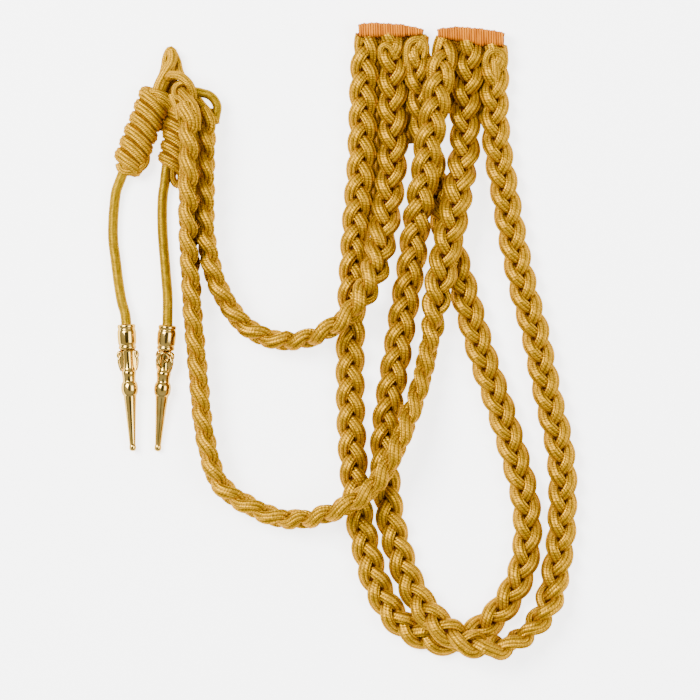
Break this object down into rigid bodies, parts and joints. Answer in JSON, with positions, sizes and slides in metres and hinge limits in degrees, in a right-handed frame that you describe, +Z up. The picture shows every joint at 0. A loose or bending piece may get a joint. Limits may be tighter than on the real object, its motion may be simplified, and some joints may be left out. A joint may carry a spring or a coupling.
{
  "type": "aiguillette",
  "caption": "Plaited gold cord aiguillette lying flat: two long loops and two front plaits from wound heads, with knots and hanging metal tags.",
  "frame": {"origin": "under the middle of the left wound head, on the surface that the aiguillette lies on", "axes": "+Y runs from the plaits up to the heads, +X from the tags towards the long loops, +Z up from the surface"},
  "size_m": [0.2818, 0.3813, 0.0307],
  "materials": {
    "plait_thread": "gold metallic thread in fine parallel cords, satin shine",
    "smooth_cord": "gold thread wound close round a single round cord",
    "head_thread": "orange thread wound close and dull",
    "tag_metal": "polished gold-coloured metal"
  },
  "bodies": {
    "root": {"left_head": "head_thread", "right_head": "head_thread", "left_loop": "plait_thread", "right_loop": "plait_thread", "left_front": "plait_thread", "right_front": "plait_thread", "button_loop": "plait_thread", "button_loop_inner": "plait_thread", "right_end_ring": "plait_thread", "left_knot": "plait_thread", "right_knot": "plait_thread", "right_knot_end": "plait_thread", "link_ring": "smooth_cord", "left_tag_cord": "smooth_cord", "right_tag_cord": "smooth_cord", "left_tag": "tag_metal", "right_tag": "tag_metal"}
  },
  "joints": []
}
